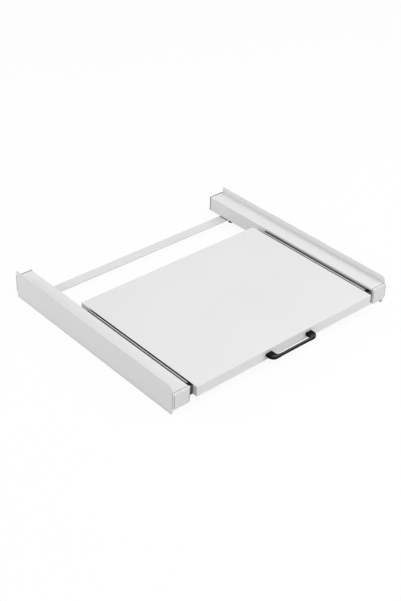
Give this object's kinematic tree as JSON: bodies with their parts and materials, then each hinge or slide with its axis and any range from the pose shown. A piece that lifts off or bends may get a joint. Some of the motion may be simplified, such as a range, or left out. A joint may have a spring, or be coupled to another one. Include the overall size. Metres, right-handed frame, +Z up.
{
  "type": "stacking kit with drawer",
  "caption": "White steel frame that holds a tumble dryer on top of a washing machine, with a pull-out work shelf on telescopic slides.",
  "frame": {"origin": "middle of the overall width and depth, at the level of the side plates' lower edges", "axes": "+X to the right as seen from the front, +Y to the rear, +Z up; the shelf pulls out along -Y"},
  "size_m": [0.606, 0.56, 0.067],
  "materials": {
    "white_powder_coat": "satin white powder coat",
    "white_plastic": "matt white moulded plastic",
    "grey_plastic": "matt light grey moulded plastic",
    "black_slide_coat": "black coated rolled steel",
    "zinc_plate": "bright zinc plate",
    "galvanised_sheet": "galvanised sheet",
    "ball_steel": "polished bearing steel",
    "black_rubber": "matt black rubber",
    "black_plastic": "satin black moulded plastic"
  },
  "bodies": {
    "frame": {"rear_crossbar": "white_powder_coat", "crossbar_screws": "zinc_plate", "left_side_plate": "white_powder_coat", "left_rail_channel": "white_powder_coat", "left_front_cap": "white_plastic", "left_rear_cap": "grey_plastic", "left_front_foot_pad": "black_rubber", "left_rear_foot_pad": "black_rubber", "left_outer_slide_member": "black_slide_coat", "left_outer_member_screws": "zinc_plate", "right_side_plate": "white_powder_coat", "right_rail_channel": "white_powder_coat", "right_front_cap": "white_plastic", "right_rear_cap": "grey_plastic", "right_front_foot_pad": "black_rubber", "right_rear_foot_pad": "black_rubber", "right_outer_slide_member": "black_slide_coat", "right_outer_member_screws": "zinc_plate"},
    "shelf": {"shelf_pan": "white_powder_coat", "front_stiffener": "galvanised_sheet", "rear_stiffener": "galvanised_sheet", "handle": "black_plastic", "handle_screws": "zinc_plate", "left_inner_slide_member": "black_slide_coat", "left_inner_member_screws": "zinc_plate", "left_slide_bumper": "black_plastic", "right_inner_slide_member": "black_slide_coat", "right_inner_member_screws": "zinc_plate", "right_slide_bumper": "black_plastic"},
    "left_middle": {"left_middle_slide_member": "black_slide_coat"},
    "left_outer_cage": {"left_outer_ball_cage": "zinc_plate", "left_outer_balls": "ball_steel"},
    "left_inner_cage": {"left_inner_ball_cage": "zinc_plate", "left_inner_balls": "ball_steel"},
    "right_middle": {"right_middle_slide_member": "black_slide_coat"},
    "right_outer_cage": {"right_outer_ball_cage": "zinc_plate", "right_outer_balls": "ball_steel"},
    "right_inner_cage": {"right_inner_ball_cage": "zinc_plate", "right_inner_balls": "ball_steel"}
  },
  "joints": [
    {"name": "shelf_slide", "type": "slide", "parent": "frame", "child": "shelf", "axis": [0, -1, 0], "range_m": [0, 0.3]},
    {"name": "left_middle_slide", "type": "slide", "parent": "frame", "child": "left_middle", "axis": [0, -1, 0], "range_m": [0, 0.15]},
    {"name": "left_outer_cage_slide", "type": "slide", "parent": "frame", "child": "left_outer_cage", "axis": [0, -1, 0], "range_m": [0, 0.075]},
    {"name": "left_inner_cage_slide", "type": "slide", "parent": "frame", "child": "left_inner_cage", "axis": [0, -1, 0], "range_m": [0, 0.225]},
    {"name": "right_middle_slide", "type": "slide", "parent": "frame", "child": "right_middle", "axis": [0, -1, 0], "range_m": [0, 0.15]},
    {"name": "right_outer_cage_slide", "type": "slide", "parent": "frame", "child": "right_outer_cage", "axis": [0, -1, 0], "range_m": [0, 0.075]},
    {"name": "right_inner_cage_slide", "type": "slide", "parent": "frame", "child": "right_inner_cage", "axis": [0, -1, 0], "range_m": [0, 0.225]}
  ],
  "couplings": [
    {"joint": "left_middle_slide", "follows": "shelf_slide", "ratio": 0.5},
    {"joint": "left_outer_cage_slide", "follows": "shelf_slide", "ratio": 0.25},
    {"joint": "left_inner_cage_slide", "follows": "shelf_slide", "ratio": 0.75},
    {"joint": "right_middle_slide", "follows": "shelf_slide", "ratio": 0.5},
    {"joint": "right_outer_cage_slide", "follows": "shelf_slide", "ratio": 0.25},
    {"joint": "right_inner_cage_slide", "follows": "shelf_slide", "ratio": 0.75}
  ]
}
